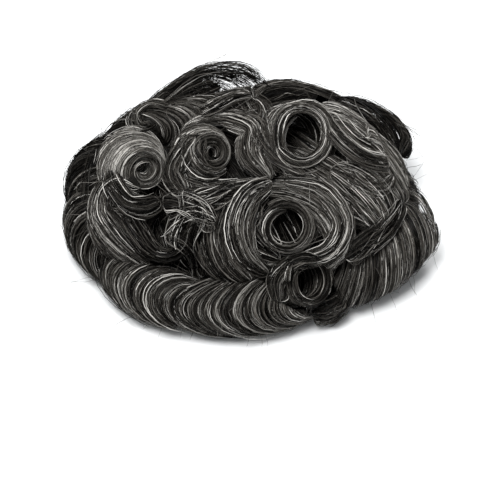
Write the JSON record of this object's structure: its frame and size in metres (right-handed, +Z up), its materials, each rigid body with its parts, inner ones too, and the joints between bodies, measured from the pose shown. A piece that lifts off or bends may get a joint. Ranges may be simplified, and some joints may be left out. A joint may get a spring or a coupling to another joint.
{
  "type": "toupee hairpiece",
  "caption": "Oval toupee hairpiece: a thin hollow domed base under permed dark hair, set in open curls on the crown and a thick rolled edge all round.",
  "frame": {"origin": "middle of the hairpiece's footprint, on the surface that it rests on", "axes": "+X along the hairpiece's long side, +Y to its back as pictured, +Z up out of the crown"},
  "size_m": [0.2522, 0.2102, 0.1028],
  "materials": {
    "hair": "satin",
    "base": "matte"
  },
  "bodies": {
    "root": {"base_cap": "base", "curl_crown_center": "hair", "curl_crown_left": "hair", "curl_crown_right": "hair", "curl_front_center": "hair", "curl_front_left": "hair", "curl_front_low": "hair", "fold_right_shoulder": "hair", "hair_bed": "hair", "hook_left": "hair", "roll_back_left": "hair", "roll_rim_back": "hair", "roll_rim_back_left": "hair", "roll_rim_back_right": "hair", "roll_rim_front": "hair", "roll_rim_front_left": "hair", "roll_rim_front_right": "hair", "roll_rim_left": "hair", "roll_rim_left_front": "hair", "roll_rim_right": "hair", "tuft_back": "hair", "wave_back_center": "hair", "wave_back_left": "hair", "wave_back_right": "hair", "wave_back_top": "hair", "wave_center": "hair", "wave_crown": "hair", "wave_front": "hair", "wave_front_center": "hair", "wave_right": "hair", "wave_right_shoulder": "hair"}
  },
  "joints": []
}
